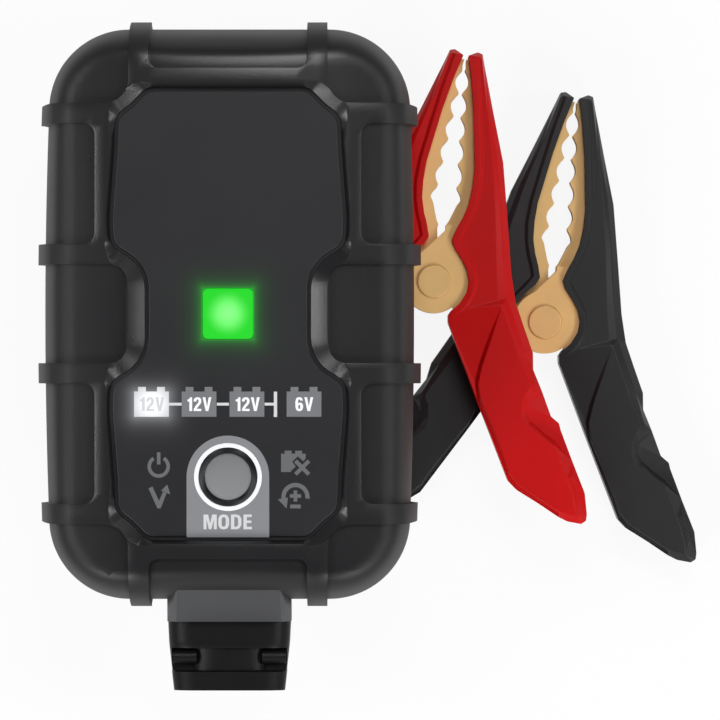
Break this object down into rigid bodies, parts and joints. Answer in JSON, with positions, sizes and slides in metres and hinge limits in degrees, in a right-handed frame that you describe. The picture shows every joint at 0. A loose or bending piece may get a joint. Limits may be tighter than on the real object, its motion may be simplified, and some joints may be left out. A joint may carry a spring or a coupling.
{
  "type": "car battery charger",
  "caption": "Plug-in battery charger with a ribbed black housing, lit label panel and push button, lying face up on a red and a black toothed battery clamp.",
  "frame": {"origin": "on the table, under the middle of the set's box", "axes": "+X across the charger towards the clamps, +Y up the charger's front, +Z out of its front, away from the table"},
  "size_m": [0.1034, 0.1032, 0.0527],
  "materials": {
    "housing_plastic": "fine textured",
    "panel_film": "satin",
    "green_light": "lit",
    "window_grey": "satin",
    "window_dark": "satin",
    "led_white": "clear",
    "guide_white": "satin",
    "button_grey": "satin",
    "switch_metal": "nickel",
    "board_green": "lacquered",
    "ferrite": "matt",
    "winding_tape": "taped",
    "can_sleeve": "sleeved",
    "chip_black": "moulded",
    "relief_rubber": "satin",
    "jaw_copper": "satin plated",
    "cover_red": "satin",
    "cover_black": "satin"
  },
  "bodies": {
    "charger": {"front_housing": "housing_plastic", "rear_housing": "housing_plastic", "front_panel": "panel_film", "charge_light_lens": "green_light", "mode_light_windows": "window_grey", "fault_light_windows": "window_dark", "indicator_leds": "led_white", "light_guide": "guide_white", "button_bezel": "guide_white", "button_switch": "switch_metal", "main_board": "board_green", "board_screws": "switch_metal", "transformer_core": "ferrite", "transformer_winding": "winding_tape", "input_capacitor": "can_sleeve", "output_capacitor": "can_sleeve", "bridge_rectifier": "chip_black", "switching_transistor": "chip_black", "line_fuse": "can_sleeve", "line_choke": "winding_tape", "control_chips": "chip_black", "blade_carrier": "relief_rubber", "plug_blades": "switch_metal", "strain_relief": "relief_rubber"},
    "button": {"mode_button": "button_grey"},
    "red_clamp": {"red_fixed_jaw": "jaw_copper", "red_fixed_cover": "cover_red", "red_pivot_rivet": "jaw_copper", "red_torsion_spring": "switch_metal", "red_lead_ferrule": "switch_metal"},
    "red_jaw": {"red_moving_jaw": "jaw_copper", "red_moving_cover": "cover_red"},
    "black_clamp": {"black_fixed_jaw": "jaw_copper", "black_fixed_cover": "cover_black", "black_pivot_rivet": "jaw_copper", "black_torsion_spring": "switch_metal", "black_lead_ferrule": "switch_metal"},
    "black_jaw": {"black_moving_jaw": "jaw_copper", "black_moving_cover": "cover_black"}
  },
  "joints": [
    {"name": "mode_button_press", "type": "slide", "parent": "charger", "child": "button", "axis": [0, 0, -1], "range_m": [0, 0.0006], "stiffness_N_per_m": 600, "springref_m": -0.001},
    {"name": "red_clamp_slide", "type": "slide", "parent": "charger", "child": "red_clamp", "axis": [1, 0, 0], "range_m": [0, 0.06]},
    {"name": "red_jaw_hinge", "type": "hinge", "parent": "red_clamp", "child": "red_jaw", "pos_m": [0.00972, 0.01175, 0.01465], "axis": [0, 0, -1], "range_deg": [0, 50], "stiffness_Nm_per_rad": 0.3, "springref_deg": -34.38, "deforming": ["red_torsion_spring"]},
    {"name": "black_clamp_slide", "type": "slide", "parent": "charger", "child": "black_clamp", "axis": [1, 0, 0], "range_m": [0, 0.06]},
    {"name": "black_jaw_hinge", "type": "hinge", "parent": "black_clamp", "child": "black_jaw", "pos_m": [0.02747, 0.0054, 0.0048], "axis": [0, 0, -1], "range_deg": [0, 50], "stiffness_Nm_per_rad": 0.3, "springref_deg": -34.38, "deforming": ["black_torsion_spring"]}
  ]
}
